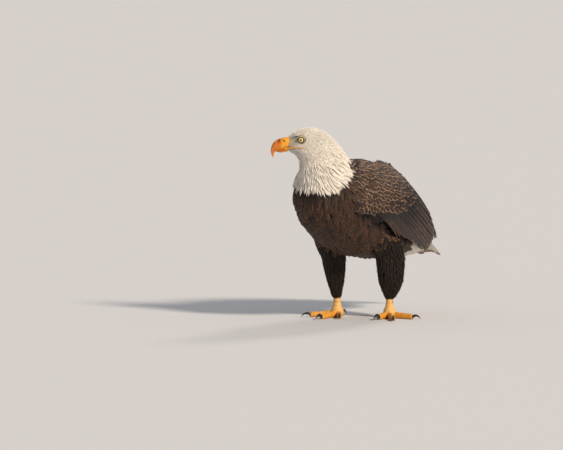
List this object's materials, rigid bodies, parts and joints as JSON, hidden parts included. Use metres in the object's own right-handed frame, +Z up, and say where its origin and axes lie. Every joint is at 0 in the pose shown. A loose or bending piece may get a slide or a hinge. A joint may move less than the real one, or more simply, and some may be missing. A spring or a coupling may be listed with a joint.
{
  "type": "bald eagle",
  "caption": "Life-size still model of a standing adult eagle: white head turned to its right, hooked yellow bill, folded brown wings, white tail, taloned feet.",
  "frame": {"origin": "on the floor, under the middle of the bounding box", "axes": "+Z up, the trunk faces -Y, the bird's left is +X, and the tail points to +Y"},
  "size_m": [0.3034, 0.6202, 0.5083],
  "materials": {
    "white_plumage": "soft matt white feathers",
    "brown_plumage": "dark brown contour feathers with paler edges",
    "wing_plumage": "brown wing feathers with tawny edges and blackish quills",
    "eye": "clear wet gloss over a pale yellow iris",
    "bill_horn": "smooth waxy orange-yellow horn",
    "scaled_skin": "yellow skin with fine scales and broad scutes",
    "claw_horn": "smooth black horn"
  },
  "bodies": {
    "root": {"head": "white_plumage", "neck": "white_plumage", "tail": "white_plumage", "trunk": "brown_plumage", "thigh_left": "brown_plumage", "thigh_right": "brown_plumage", "wing_left": "wing_plumage", "wing_right": "wing_plumage", "primaries_left": "wing_plumage", "primaries_right": "wing_plumage", "eye_left": "eye", "eye_right": "eye", "bill_upper": "bill_horn", "bill_lower": "bill_horn", "tarsus_left": "scaled_skin", "tarsus_right": "scaled_skin", "toe_inner_left": "scaled_skin", "toe_inner_right": "scaled_skin", "toe_middle_left": "scaled_skin", "toe_middle_right": "scaled_skin", "toe_outer_left": "scaled_skin", "toe_outer_right": "scaled_skin", "toe_hind_left": "scaled_skin", "toe_hind_right": "scaled_skin", "claw_inner_left": "claw_horn", "claw_inner_right": "claw_horn", "claw_middle_left": "claw_horn", "claw_middle_right": "claw_horn", "claw_outer_left": "claw_horn", "claw_outer_right": "claw_horn", "claw_hind_left": "claw_horn", "claw_hind_right": "claw_horn"}
  },
  "joints": []
}
